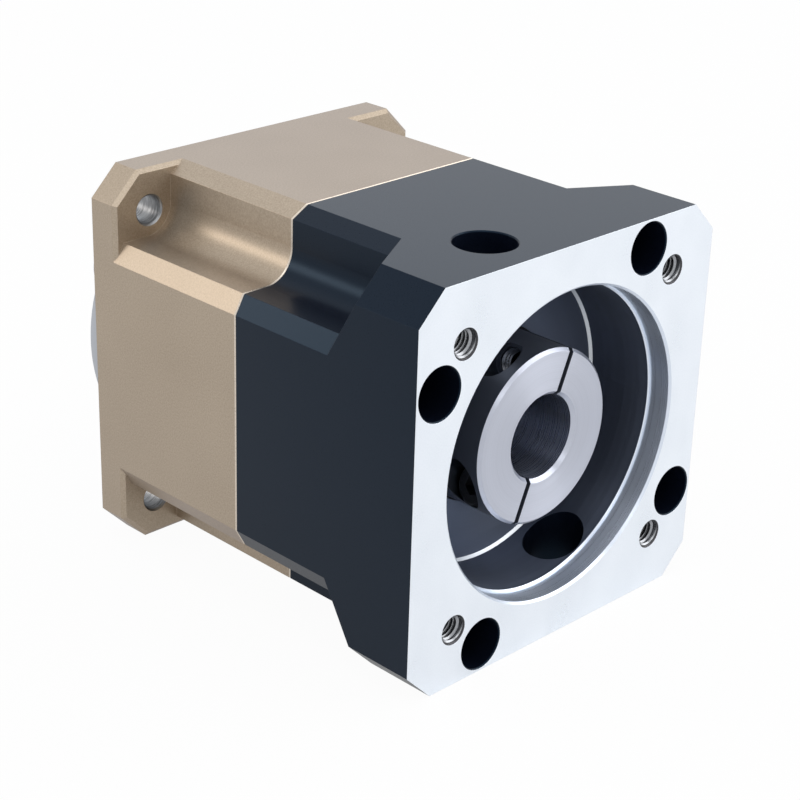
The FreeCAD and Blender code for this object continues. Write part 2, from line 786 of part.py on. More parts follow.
def planet_needles(index):
    """Needle rollers between one planet and its pin, and the thin cage that spaces them."""
    x, z = on_circle("gear_centres", f"{90 + 120 * index}")
    start = "(planet_back + (planet_width - needle_length) / 2)"
    count = int(number("needle_count"))
    needles = []
    pockets = []
    for item in range(count):
        across, along = on_circle("(pin_radius + needle_radius)", f"({item} * 360 / needle_count)")
        name = f"needle_{index + 1}_{item + 1}"
        needles.append(cylinder(name, "needle_radius - roller_play", "needle_length",
                                f"{x} + {across}", start, f"{z} + {along}"))
        pockets.append(cylinder(name + "_pocket", "needle_radius + roller_play",
                                "needle_length + 2 * roller_end_play", f"{x} + {across}",
                                f"({start} - roller_end_play)", f"{z} + {along}"))
    rollers = compound(f"planet_needles_{index + 1}", needles)
    outer = cylinder(f"cage_outer_{index + 1}", "pin_radius + needle_cage_outer_share * needle_radius",
                     "planet_width - 2 * needle_cage_set_back",
                     x, "(planet_back + needle_cage_set_back)", z)
    inner = cylinder(f"cage_inner_{index + 1}", "pin_radius + needle_cage_inner_share * needle_radius",
                     "planet_width", x, "planet_back", z)
    sleeve = difference(f"cage_sleeve_{index + 1}", outer, inner)
    cage = difference(f"needle_cage_{index + 1}", sleeve, compound(f"needle_pockets_{index + 1}", pockets))
    return rollers, cage


def planet_pin(index):
    """Hardened pin pressed through both plates of the carrier."""
    x, z = on_circle("gear_centres", f"{90 + 120 * index}")
    body = new_body(f"planet_pin_{index + 1}")
    length = "(carrier_front - carrier_back - 2 * pin_set_back)"
    revolve(body, f"pin_turning_{index + 1}", [
        ("0", "0"),
        ("pin_radius - pin_chamfer", "0"),
        ("pin_radius", "pin_chamfer"),
        ("pin_radius", f"({length} - pin_chamfer)"),
        ("pin_radius - pin_chamfer", length),
        ("0", length),
    ])
    return place(body, "(carrier_back + pin_set_back)", x=x, z=z)


def thrust_washers():
    """Six thin washers, one on each side of every planet."""
    washers = []
    for index in range(3):
        x, z = on_circle("gear_centres", f"{90 + 120 * index}")
        for side, y in (("back", "(carrier_back + rear_plate)"),
                        ("front", "(planet_front + washer_gap)")):
            name = f"washer_{side}_{index + 1}"
            disc = cylinder(name + "_disc", "washer_radius", "washer_thickness", x, y, z)
            hole = cylinder(name + "_hole", "pin_radius", "washer_thickness + 2", x, f"({y} - 1)", z)
            washers.append(difference(name, disc, hole))
    return compound("thrust_washers", washers)


def planet_carrier():
    """Cage-type carrier in one piece with the output shaft, with three open planet windows."""
    body = new_body("planet_carrier")
    back = "carrier_back"
    front = "carrier_front"
    revolve(body, "turned_blank", [
        ("0", back),
        ("(carrier_radius - carrier_chamfer)", back),
        ("carrier_radius", f"({back} + carrier_chamfer)"),
        ("carrier_radius", f"({front} - carrier_chamfer)"),
        ("(carrier_radius - carrier_chamfer)", front),
        ("rear_shoulder", front),
        ("rear_shoulder", "rear_back"),
        ("rear_bore", "rear_back"),
        ("rear_bore", "front_back"),
        ("front_bore", "front_back"),
        ("front_bore", "front_front"),
        ("front_bore - ring_groove", "front_front"),
        ("front_bore - ring_groove", "(front_front + ring_thickness)"),
        ("front_bore", "(front_front + ring_thickness)"),
        ("front_bore", "output_shoulder - shaft_chamfer"),
        ("front_bore - shaft_chamfer", "output_shoulder"),
        ("output_radius", "output_shoulder"),
        ("output_radius", "output_end - shaft_chamfer"),
        ("output_radius - shaft_chamfer", "output_end"),
        ("0", "output_end"),
    ])
    window_start = "(carrier_back + rear_plate)"
    pocket_end = "(planet_front + sun_room)"
    revolve(body, "sun_bore", [
        ("0", f"({back} - 1)"),
        ("sun_room_radius", f"({back} - 1)"),
        ("sun_room_radius", pocket_end),
        ("0", pocket_end),
    ], cut=True)
    window = "(planet_tip + window_gap)"
    windows = new_sketch(body, "window_centres", "XZ_Plane", f"(-1 * {window_start})")
    pins = new_sketch(body, "pin_centres", "XZ_Plane", f"(-1 * {front} - 1)")
    for index in range(3):
        x, z = on_circle("gear_centres", f"{90 + 120 * index}")
        draw_circle(windows, x, z, window)
        draw_circle(pins, x, z, "pin_radius")
    extrude(body, "planet_windows", windows, f"({front} - front_plate - {window_start})", cut=True)
    extrude(body, "pin_holes", pins, "body_width", cut=True, back=True)
    key_sketch = new_sketch(body, "keyway_outline", "XY_Plane", "output_radius - key_depth")
    draw_slot(key_sketch, "key_start", "key_length", "(key_width / 2)")
    extrude(body, "keyway", key_sketch, "output_radius", cut=True, back=True)
    revolve(body, "centre_thread_hole", [
        ("0", "output_end + 1"),
        ("centre_thread_radius", "output_end + 1"),
        ("centre_thread_radius", "output_end - centre_thread_depth"),
        ("0", "output_end - centre_thread_depth - centre_thread_radius * drill_point_share"),
    ], cut=True)
    return body


# An end of a slot is drawn a touch larger than its half width, so that its arc stays under half a turn.
ALMOST_HALF_TURN = 1.0001


def draw_slot(sketch, start, length, radius):
    """A slot along the gear axis with round ends."""
    low = f"({start} + {radius})"
    high = f"({start} + {length} - {radius})"
    draw_outline(sketch, [
        (radius, low),
        (radius, high, f"({radius} * {ALMOST_HALF_TURN})"),
        (f"(-1 * {radius})", high),
        (f"(-1 * {radius})", low, f"({radius} * {ALMOST_HALF_TURN})"),
    ])
    return sketch


def output_key():
    """Parallel key with round ends in the output shaft."""
    body = new_body("output_key")
    outline = new_sketch(body, "key_outline", "XY_Plane")
    sketch = draw_slot(outline, "0", "key_length", "(key_width / 2 - key_play)")
    extrude(body, "key_bar", sketch, "key_height")
    return place(body, "key_start", z="(output_radius - key_depth)")


def ball_bearing(name, start):
    """Deep-groove ball bearing: outer ring, inner ring, balls and cage as separate parts."""
    bore = f"{name}_bore"
    outer = f"{name}_outer"
    width = f"{name}_width"
    count_name = f"{name}_ball_count"
    name = f"{name}_bearing"
    pitch = f"(({bore} + {outer}) / 2)"
    middle = f"({width} / 2)"
    wall = f"(({outer} - {bore}) * race_share)"
    ball = f"(({outer} - {bore}) * ball_share)"
    rings = []
    for label, low, high in ((f"{name}_outer_ring", f"({outer} - {wall})", outer),
                             (f"{name}_inner_ring", bore, f"({bore} + {wall})")):
        body = new_body(label)
        revolve(body, label + "_blank", [
            (f"({low} + race_chamfer)", "0"),
            (f"({high} - race_chamfer)", "0"),
            (high, "race_chamfer"),
            (high, f"({width} - race_chamfer)"),
            (f"({high} - race_chamfer)", width),
            (f"({low} + race_chamfer)", width),
            (low, f"({width} - race_chamfer)"),
            (low, "race_chamfer"),
        ])
        groove_round(body, label + "_groove", pitch, middle, f"({ball} + race_play)")
        rings.append(place(body, start))
    balls = []
    pockets = []
    for item in range(int(number(count_name))):
        angle = f"({item} * 360 / {count_name})"
        x, z = on_circle(pitch, angle)
        sphere = doc.addObject("Part::Sphere", f"{name}_ball_{item + 1}")
        bind(sphere, "Radius", ball)
        balls.append(place(sphere, f"({start} + {middle})", x=x, z=z))
        x, z = on_circle(f"({pitch} - cage_thickness)", angle)
        drill = doc.addObject("Part::Cylinder", f"{name}_pocket_{item + 1}")
        bind(drill, "Radius", f"({ball} + race_play * 2)")
        bind(drill, "Height", "cage_thickness * 2")
        pockets.append(place(drill, f"({start} + {middle})", f"(90 - {angle})", x=x, z=z))
    ball_set = compound(f"{name}_balls", balls)
    tall = f"({ball} * 2 + cage_rim * 2)"
    low_end = f"({start} + {middle} - {tall} / 2)"
    outer_tube = cylinder(f"{name}_cage_outer", f"({pitch} + cage_thickness / 2)", tall, y=low_end)
    inner_tube = cylinder(f"{name}_cage_inner", f"({pitch} - cage_thickness / 2)", f"({tall} + 2)",
                          y=f"({low_end} - 1)")
    band = difference(f"{name}_cage_band", outer_tube, inner_tube)
    cage = difference(f"{name}_cage", band, compound(f"{name}_cage_pockets", pockets))
    return rings + [ball_set, cage]


def shaft_seal(name, outer, bore, start, web_in_front):
    """Rotary shaft seal: outer band, web and one flexible lip, with the spring that hugs the lip."""
    body = new_body(name)
    lip = f"({bore} + seal_lip_play)"
    section = f"({outer} - {bore})"
    neck = f"({lip} + {section} * seal_neck_share)"
    heel = f"({lip} + {section} * seal_heel_share)"
    wall = f"({section} * seal_wall_share)"
    spots = [
        (lip, "seal_thickness * seal_lip_place"),
        (f"({lip} + {section} * seal_bevel_share)", "seal_thickness * seal_bevel_place"),
        (neck, "seal_edge"),
        (f"({neck} + {wall} / 2)", "0"),
        (outer, "0"),
        (outer, "seal_thickness"),
        (f"({outer} - {wall})", "seal_thickness"),
        (f"({outer} - {wall})", wall),
        (f"({neck} + {wall})", wall),
        (heel, "seal_thickness * seal_heel_start"),
        (heel, "seal_thickness * seal_heel_end"),
        (f"({lip} + {section} * seal_back_share)", "seal_thickness * seal_back_place"),
    ]
    spring_spot = "(seal_thickness * spring_place)"
    if web_in_front:
        spots = [(across, f"(seal_thickness - ({along}))") for across, along in reversed(spots)]
        spring_spot = f"(seal_thickness - {spring_spot})"
    revolve(body, name + "_section", spots)
    spring_circle = f"({heel} + spring_rise)"
    groove_round(body, name + "_spring_groove", spring_circle, spring_spot, "(spring_radius + spring_play)")
    place(body, start)
    spring = torus(name + "_spring", spring_circle, "spring_radius", f"({start} + {spring_spot})")
    return [body, spring]


def retaining_ring(label, seat_radius, section, inward, y):
    """Open retaining ring with two pierced lugs, in a groove at the seat radius. Its band and lugs are
    shares of the bearing's section, so that the rings on both sides of a bearing keep clear."""
    sign = "-1" if inward else "1"
    reach = f"({section} * ring_band_share)"
    near = f"({seat_radius} - ({sign}) * ring_groove * ring_groove_share)"
    far = f"({seat_radius} + ({sign}) * {reach})"
    big, small = (near, far) if inward else (far, near)
    thickness = "ring_thickness - ring_side_play"
    disc = cylinder(label + "_disc", big, thickness, y=y)
    hole = cylinder(label + "_hole", small, "ring_thickness + 2", y=f"({y} - 1)")
    band = difference(label + "_band", disc, hole)
    lug_circle = f"({seat_radius} + ({sign}) * ({reach} + {section} * lug_reach_share))"
    lug_radius = f"({section} * lug_radius_share)"
    lugs = []
    eyes = []
    for side in (-1, 1):
        x, z = on_circle(lug_circle, f"(90 + {side} * lug_angle)")
        lugs.append(cylinder(f"{label}_lug_{side + 2}", lug_radius, thickness, x, y, z))
        eyes.append(cylinder(f"{label}_eye_{side + 2}", f"({section} * lug_eye_share)",
                             "ring_thickness + 2", x, f"({y} - 1)", z))
    gap = doc.addObject("Part::Box", label + "_gap")
    bind(gap, "Length", "ring_mouth")
    bind(gap, "Width", "ring_thickness + 2")
    bind(gap, "Height", f"{big} + {lug_radius} * 4")
    bind(gap, "Placement.Base.x", "(-1 * ring_mouth / 2)")
    bind(gap, "Placement.Base.y", f"({y} - 1)")
    bind(gap, "Placement.Base.z", f"({small} * 0.5)")
    joined = doc.addObject("Part::MultiFuse", label + "_joined")
    joined.Shapes = [band] + lugs
    holed = difference(label + "_holed", joined, compound(label + "_eyes", eyes))
    return difference(label, holed, gap)


def case_seal():
    """Rubber ring in the chamfer at the mouth of the ring gear's seat."""
    room = "case_seal_radius + case_seal_play"
    return torus("case_seal_ring", f"(ring_outer + {room})", "case_seal_radius", f"(parting + {room})")


def input_shaft():
    """Input shaft in one piece with the split hub that clamps the motor shaft."""
    body = new_body("input_shaft")
    seal_start = "hub_length"
    seal_end = "(input_bearing_front - hub_face)"
    end = "(shaft_end - hub_face)"
    clip = "(input_bearing_back - hub_face)"
    revolve(body, "turned_shaft", [
        ("motor_shaft_radius + bore_chamfer", "0"),
        ("hub_radius - hub_chamfer", "0"),
        ("hub_radius", "hub_chamfer"),
        ("hub_radius", seal_start),
        ("input_seal_bore", seal_start),
        ("input_seal_bore", seal_end),
        ("input_bore", seal_end),
        ("input_bore", clip),
        ("input_bore - ring_groove", clip),
        ("input_bore - ring_groove", f"({clip} + ring_thickness)"),
        ("input_bore", f"({clip} + ring_thickness)"),
        ("input_bore", end),
        ("sun_stub_radius", end),
        ("sun_stub_radius", "motor_bore_depth"),
        ("motor_shaft_radius + bore_relief_depth", "motor_bore_depth"),
        ("motor_shaft_radius + bore_relief_depth", "motor_bore_depth - bore_relief_width"),
        ("motor_shaft_radius", "motor_bore_depth - bore_relief_width"),
        ("motor_shaft_radius", "bore_chamfer"),
    ])
    slits = draw_outline(new_sketch(body, "slit_outline", "XZ_Plane", "0", "slit_turn"), [
        ("-1 * body_width / 2", "-1 * slit_width / 2"),
        ("body_width / 2", "-1 * slit_width / 2"),
        ("body_width / 2", "slit_width / 2"),
        ("-1 * body_width / 2", "slit_width / 2"),
    ])
    extrude(body, "slits", slits, "slit_depth", cut=True)
    y = "clamp_screw_set_back"
    turn = "(-1 * slit_turn)"
    thread = draw_circle(new_sketch(body, "thread_spot", "XY_Plane", "0", turn), "clamp_screw_offset", y,
                         "clamp_screw_radius")
    clear = draw_circle(new_sketch(body, "shank_spot", "XY_Plane", "0", turn),
                        "(-1 * clamp_screw_offset)", y, "(clamp_screw_radius + screw_play)")
    relief = draw_circle(new_sketch(body, "relief_spot", "XY_Plane", "clamp_relief_floor", turn),
                         "clamp_screw_offset", y, "clamp_relief_radius")
    well = draw_circle(new_sketch(body, "well_spot", "XY_Plane", "clamp_seat", turn),
                       "(-1 * clamp_screw_offset)", y, "clamp_well_radius")
    cuts = [
        extrude(body, "thread_hole", thread, "body_width / 2", cut=True, back=True),
        extrude(body, "thread_relief", relief, "body_width / 2", cut=True, back=True),
        extrude(body, "shank_hole", clear, "body_width / 2", cut=True, back=True),
        extrude(body, "head_well", well, "body_width / 2", cut=True, back=True),
    ]
    repeat_about_axis(body, "both_sides", cuts, 2)
    place(body, "hub_face")
    return body


def clamp_screws():
    """Two opposed screws that draw the halves of the split hub together."""
    screws = []
    lean = math.radians(number("slit_turn"))
    along = Vector(-math.sin(lean), 0, math.cos(lean))
    for side in (1, -1):
        screw = socket_screw(f"clamp_screw_{(3 - side) // 2}", "clamp_screw_radius", "clamp_head_radius",
                             "clamp_head_height", "(clamp_seat + clamp_screw_reach)")
        x = f"({-side} * clamp_screw_offset * cos(slit_turn) - {side} * clamp_seat * sin(slit_turn))"
        z = f"({-side} * clamp_screw_offset * sin(slit_turn) + {side} * clamp_seat * cos(slit_turn))"
        place(screw, "(hub_face + clamp_screw_set_back)", x=x, z=z)
        screw.Placement = Placement(screw.Placement.Base, Rotation(Vector(0, 1, 0), along * -side))
        screws.append(screw)
    return compound("clamp_screws", screws)


parts = [
    output_housing(),
    input_adapter(),
    ring_gear(),
    case_seal(),
    case_screws(),
    planet_carrier(),
    output_key(),
    sun_gear(),
    input_shaft(),
    clamp_screws(),
    thrust_washers(),
]
for planet in range(3):
    parts.append(planet_gear(planet))
    parts.append(planet_pin(planet))
    parts.extend(planet_needles(planet))
parts.extend(ball_bearing("rear", "rear_back"))
parts.extend(ball_bearing("front", "front_back"))
parts.extend(ball_bearing("input", "input_bearing_front"))
parts.extend(shaft_seal("output_seal", "output_seal_radius", "front_bore", "output_seal_back", True))
parts.extend(shaft_seal("input_seal", "input_seal_radius", "input_seal_bore", "input_seal_front", False))
for clip, seat, section, inward, y in (
    ("input_bearing_clip", "input_outer", "input_section", True, "input_bearing_back"),
    ("input_shaft_clip", "input_bore", "input_section", False, "input_bearing_back"),
    ("output_shaft_clip", "front_bore", "front_section", False, "front_front"),
):
    parts.append(retaining_ring(clip, seat, section, inward, y))

doc.recompute()
failed = [item.Name for item in doc.Objects if "Invalid" in item.State or "Error" in item.State]
if failed:
    raise RuntimeError("these objects failed: " + ", ".join(failed))
os.makedirs("parts", exist_ok=True)
for part in parts:
    if part.Shape.isNull() or not part.Shape.isValid():
        raise RuntimeError(f"{part.Label} has no valid shape")
    part.Shape.exportStep(f"parts/{part.Label}.step")
    print(part.Label, len(part.Shape.Solids), "solids,", round(part.Shape.Volume, 1), "mm3")
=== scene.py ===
# %% [markdown]
# # A planetary gearbox for a product picture
#
# This notebook dresses an exact metal model for its picture. The object is an inline gearbox with a square
# body: a champagne-coloured housing at the far end, a black adapter at the near end, and a split steel hub
# in the adapter's mouth that grips a motor's shaft.
#
# The solids already have the right shapes, so most of the work here is finish: what was blasted, what was
# dyed in the anodising bath, what was cut bare afterwards, and what was ground. Blender works in metres,
# so a millimetre is written once as MM and every size is given in it.

# %% Load the solids
import math

import bmesh
import bpy
from mathutils import Matrix, Vector


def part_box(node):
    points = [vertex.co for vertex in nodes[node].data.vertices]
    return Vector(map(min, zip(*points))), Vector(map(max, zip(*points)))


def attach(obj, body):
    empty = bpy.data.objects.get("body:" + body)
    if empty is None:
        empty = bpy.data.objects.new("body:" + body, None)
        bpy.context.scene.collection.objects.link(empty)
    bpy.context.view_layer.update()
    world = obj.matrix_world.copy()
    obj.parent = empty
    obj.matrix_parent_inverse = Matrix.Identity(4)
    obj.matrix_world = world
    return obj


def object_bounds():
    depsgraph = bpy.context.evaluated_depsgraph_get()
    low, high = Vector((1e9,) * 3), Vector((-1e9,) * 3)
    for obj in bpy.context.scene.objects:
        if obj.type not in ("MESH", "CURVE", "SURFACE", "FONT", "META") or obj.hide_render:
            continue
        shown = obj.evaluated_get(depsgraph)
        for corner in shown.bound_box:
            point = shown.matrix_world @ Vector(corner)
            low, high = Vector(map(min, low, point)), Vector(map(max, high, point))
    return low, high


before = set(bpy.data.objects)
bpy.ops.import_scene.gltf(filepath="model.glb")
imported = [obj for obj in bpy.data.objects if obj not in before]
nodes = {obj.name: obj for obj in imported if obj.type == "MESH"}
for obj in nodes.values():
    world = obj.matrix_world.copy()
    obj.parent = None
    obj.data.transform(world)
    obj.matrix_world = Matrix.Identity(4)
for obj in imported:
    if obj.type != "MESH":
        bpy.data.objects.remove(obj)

MM = 0.001
cad_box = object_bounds()
print("whole object, in metres:", [[round(value, 4) for value in corner] for corner in cad_box])

# %% [markdown]
# ## Landmarks on the solids
#
# A finish often ends where a form ends: the bare face ends at the flange's edge, the turned mouth ends at
# its shoulder. So the landmarks are read from the solids themselves instead of typed a second time. The gear
# axis is the Y axis: the output shaft points to +Y and the motor comes from -Y.

# %% Read the landmarks
adapter_low, adapter_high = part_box("input_adapter")

OUTPUT_FACE = 0.0
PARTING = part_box("output_housing")[0].y
INPUT_FACE = adapter_low.y
HUB_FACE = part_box("input_shaft")[0].y
BODY_HALF = adapter_high.x
FLOOR_LEVEL = cad_box[0][2]
print("parting at", round(PARTING / MM, 2), "mm, input face at", round(INPUT_FACE / MM, 2), "mm")
print("hub face at", round(HUB_FACE / MM, 2), "mm, body half width", round(BODY_HALF / MM, 2), "mm")

# %% [markdown]
# ## A small helper for shader nodes
#
# Every finish below is a graph of nodes. Making a node, setting its values and linking it takes three
# lines each time, so one helper does all three. A value is a number, a colour, or the output of another
# node: the helper links it if it is an output and sets it otherwise.

# %% Node helper
def add_node(tree, kind, inputs=None, **settings):
    node = tree.nodes.new(kind)
    for name, value in settings.items():
        setattr(node, name, value)
    for socket, value in (inputs or {}).items():
        if isinstance(value, bpy.types.NodeSocket):
            tree.links.new(value, node.inputs[socket])
        else:
            node.inputs[socket].default_value = value
    return node


def new_finish(name):
    material = bpy.data.materials.new(name)
    material.use_nodes = True
    material.node_tree.nodes.clear()
    return material, material.node_tree


def finish_output(tree, shader):
    add_node(tree, "ShaderNodeOutputMaterial", {"Surface": shader.outputs[0]})


def mix_colours(tree, factor, dark, light):
    """A colour between dark and light. The mix node holds a socket of each name for every kind of data."""
    node = add_node(tree, "ShaderNodeMix", {"Factor": factor}, data_type="RGBA")
    for name, colour in (("A", dark), ("B", light)):
        socket = next(item for item in node.inputs if item.name == name and item.type == "RGBA")
        socket.default_value = (*colour, 1.0)
    return next(item for item in node.outputs if item.type == "RGBA")


def span(tree, value, low, high, new_low, new_high):
    """Map a range of values to another range, and clamp what lies outside."""
    inputs = {"Value": value, "From Min": low, "From Max": high, "To Min": new_low, "To Max": new_high}
    return add_node(tree, "ShaderNodeMapRange", inputs).outputs["Result"]


print("helpers ready")

# %% [markdown]
# ## Where a pattern lives
#
# Texture nodes need a coordinate. Object coordinates are metres in the model's own frame, so a grain of
# 0.3 mm stays 0.3 mm on every piece and nothing has to be unwrapped. A lathe leaves rings, and a ring has
# the same distance from the axis and the same place along it all the way round. So for turned metal the
# pattern is looked up by those two numbers and not by X, Y and Z.

# %% Coordinates
def model_place(tree):
    return add_node(tree, "ShaderNodeTexCoord").outputs["Object"]


def stretched(tree, place, stretch):
    return add_node(tree, "ShaderNodeVectorMath", {0: place, 1: stretch}, operation="MULTIPLY").outputs[0]


def lathe_place(tree):
    """Distance from the gear axis and place along it."""
    place = model_place(tree)
    flat = stretched(tree, place, (1.0, 0.0, 1.0))
    radius = add_node(tree, "ShaderNodeVectorMath", {0: flat}, operation="LENGTH").outputs["Value"]
    along = add_node(tree, "ShaderNodeSeparateXYZ", {0: place}).outputs["Y"]
    return add_node(tree, "ShaderNodeCombineXYZ", {"X": radius, "Y": along}).outputs[0]


def noise(tree, place, grain_mm, detail=2.0, roughness=0.5):
    """Noise whose blobs are about grain_mm across."""
    inputs = {"Vector": place, "Scale": 1.0 / (grain_mm * MM), "Detail": detail, "Roughness": roughness}
    return add_node(tree, "ShaderNodeTexNoise", inputs).outputs["Fac"]


def soft_edge(tree, radius_mm):
    """Normals that bend over a sharp edge, as if it had a tiny radius."""
    return add_node(tree, "ShaderNodeBevel", {"Radius": radius_mm * MM}, samples=4).outputs["Normal"]


def bumped(tree, height, depth_mm, strength, edge_mm=0.12):
    inputs = {
        "Height": height,
        "Distance": depth_mm * MM,
        "Strength": strength,
        "Normal": soft_edge(tree, edge_mm),
    }
    return add_node(tree, "ShaderNodeBump", inputs).outputs["Normal"]


print("coordinates ready")

# %% [markdown]
# ## Blasted and anodised aluminium
#
# Both housings are milled, blasted with fine beads and anodised. Blasting leaves a grain of tiny dimples,
# so the metal is matte but still a metal: light spreads wide and keeps the metal's tint. Anodising is a thin
# clear oxide that holds dye. It could be built as a clear coat over a metal. The coat's reflection is weak
# and the base is rough, so a Principled shader with the right share of metal and a weak, rough coat does it.
# The coat is what turns the champagne greyer on faces seen at a flat angle. Two noises move the colour: one
# as fine as the beads, and a faint one more than a centimetre wide for the way the dye takes.

# %% Anodised finishes
COAT_ROUGHNESS = 0.42
PATCH_MM = 16.0


def blasted_anodising(name, dark, light, metal, rough, specular, tint, coat, bead_mm):
    material, tree = new_finish(name)
    place = model_place(tree)
    beads = noise(tree, place, bead_mm, detail=3.0, roughness=0.7)
    patches = span(tree, noise(tree, place, PATCH_MM, detail=1.0), 0.0, 1.0, -0.06, 0.06)
    shade = add_node(tree, "ShaderNodeMath", {0: beads, 1: patches}, operation="ADD").outputs[0]
    colour = mix_colours(tree, span(tree, shade, 0.3, 0.7, 0.0, 1.0), dark, light)
    roughness = span(tree, beads, 0.3, 0.7, rough - 0.04, rough + 0.05)
    shader = add_node(tree, "ShaderNodeBsdfPrincipled", {
        "Base Color": colour,
        "Metallic": metal,
        "Roughness": roughness,
        "Normal": bumped(tree, beads, 0.010, 0.45, edge_mm=0.15),
    })
    shader.inputs["Specular IOR Level"].default_value = specular
    shader.inputs["Specular Tint"].default_value = (*tint, 1.0)
    shader.inputs["Coat Weight"].default_value = coat
    shader.inputs["Coat Roughness"].default_value = COAT_ROUGHNESS
    finish_output(tree, shader)
    return material


CHAMPAGNE = blasted_anodising(
    "champagne_anodising", dark=(0.352, 0.287, 0.216), light=(0.497, 0.415, 0.324), metal=0.84, rough=0.42,
    specular=0.5, tint=(0.62, 0.64, 0.74), coat=0.06, bead_mm=0.36)
BLACK_ANODISING = blasted_anodising(
    "black_anodising", dark=(0.0022, 0.0036, 0.0095), light=(0.0050, 0.0072, 0.0150), metal=0.0, rough=0.31,
    specular=0.25, tint=(0.36, 0.66, 1.0), coat=0.0, bead_mm=0.30)
print("anodised finishes:", CHAMPAGNE.name, BLACK_ANODISING.name)

# %% [markdown]
# ## Bare milled aluminium
#
# The input face was cut after anodising, so it is bare and almost white. A wide face mill leaves very
# shallow marks. Drawn as real grooves they would be far too strong, so a soft mottling and a fine grain move
# only the colour, the roughness and a hair of bump. The output face is bare too, but a thin clear oxide
# leaves it greyer.

# %% Milled finish
def milled_aluminium(name, dark, light):
    material, tree = new_finish(name)
    place = model_place(tree)
    grain = noise(tree, place, 0.35, detail=3.0)
    clouds = noise(tree, stretched(tree, place, (1.0, 1.0, 0.6)), 9.0)
    both = add_node(tree, "ShaderNodeMath", {0: grain, 1: clouds}, operation="ADD").outputs[0]
    colour = mix_colours(tree, span(tree, both, 0.7, 1.3, 0.0, 1.0), dark, light)
    shader = add_node(tree, "ShaderNodeBsdfPrincipled", {
        "Base Color": colour,
        "Metallic": 1.0,
        "Roughness": span(tree, both, 0.7, 1.3, 0.27, 0.36),
        "Normal": bumped(tree, grain, 0.003, 0.25),
    })
    finish_output(tree, shader)
    return material


MILLED = milled_aluminium("milled_aluminium", (0.83, 0.88, 0.945), (0.89, 0.935, 0.995))
MILLED_GREY = milled_aluminium("milled_grey_aluminium", (0.52, 0.54, 0.57), (0.60, 0.62, 0.65))
print("milled finishes:", MILLED.name, MILLED_GREY.name)

# %% [markdown]
# ## Turned and ground metal
#
# A lathe tool leaves fine rings. Rings scatter light across themselves and hardly along themselves, which
# draws the bright rays on a turned face and the bands along a bored wall. Real ring geometry would need
# millions of faces. The shader's anisotropy does the same: the tangent runs round the axis, and a quarter
# turn of the stretch lays the highlight across the rings. A noise along radius and length adds the single
# rings that one can see.

# %% Turned finish
QUARTER_TURN = 0.25


def turned_metal(name, colour, rough, rings, stretch):
    material, tree = new_finish(name)
    place = lathe_place(tree)
    fine = noise(tree, place, 0.22, detail=2.0)
    wide = noise(tree, place, 3.0, detail=1.0)
    both = add_node(tree, "ShaderNodeMath", {0: fine, 1: wide}, operation="ADD").outputs[0]
    darker = tuple(value * 0.90 for value in colour)
    shade = mix_colours(tree, span(tree, both, 0.7, 1.3, 0.0, 1.0), darker, colour)
    shader = add_node(tree, "ShaderNodeBsdfPrincipled", {
        "Base Color": shade,
        "Metallic": 1.0,
        "Roughness": span(tree, fine, 0.3, 0.7, rough * 0.88, rough * 1.12),
        "Normal": bumped(tree, fine, 0.004, rings),
        "Tangent": add_node(tree, "ShaderNodeTangent", direction_type="RADIAL", axis="Y").outputs[0],
    })
    shader.inputs["Anisotropic"].default_value = stretch
    shader.inputs["Anisotropic Rotation"].default_value = QUARTER_TURN
    finish_output(tree, shader)
    return material


TURNED_ALUMINIUM = turned_metal("turned_aluminium", (0.785, 0.85, 0.955), 0.30, 0.15, stretch=0.90)
TURNED_GREY = turned_metal("turned_grey_aluminium", (0.52, 0.54, 0.58), 0.38, 0.15, stretch=0.85)
TURNED_BLACK = turned_metal("turned_black_aluminium", (0.124, 0.145, 0.196), 0.40, 0.10, stretch=0.88)
TURNED_STEEL = turned_metal("turned_steel", (0.570, 0.595, 0.680), 0.32, 0.10, stretch=0.90)
GROUND_STEEL = turned_metal("ground_steel", (0.50, 0.50, 0.52), 0.22, 0.08, stretch=0.6)
BORE_STEEL = turned_metal("bore_steel", (0.34, 0.375, 0.48), 0.28, 0.06, stretch=0.93)
CUT_EDGE = turned_metal("cut_edge", (0.66, 0.69, 0.73), 0.36, 0.05, stretch=0.5)
HUB_BLACK = turned_metal("hub_black_steel", (0.110, 0.125, 0.160), 0.46, 0.06, stretch=0.7)
print("turned finishes ready")

# %% [markdown]
# ## Plain steels, rubber and the other finishes
#
# What is left are small parts: blackened screws, gears, balls, rubber seals, moulded cages, bronze washers.
# One function serves them all, with a grain that keeps the metals from looking like plastic.

# %% Small-part finishes
def grained_metal(name, dark, light, rough, grain_mm=0.6, metal=1.0):
    material, tree = new_finish(name)
    place = model_place(tree)
    grain = noise(tree, place, grain_mm, detail=4.0, roughness=0.6)
    shader = add_node(tree, "ShaderNodeBsdfPrincipled", {
        "Base Color": mix_colours(tree, span(tree, grain, 0.3, 0.7, 0.0, 1.0), dark, light),
        "Metallic": metal,
        "Roughness": span(tree, grain, 0.3, 0.7, rough - 0.05, rough + 0.06),
        "Normal": bumped(tree, grain, 0.006, 0.3),
    })
    finish_output(tree, shader)
    return material


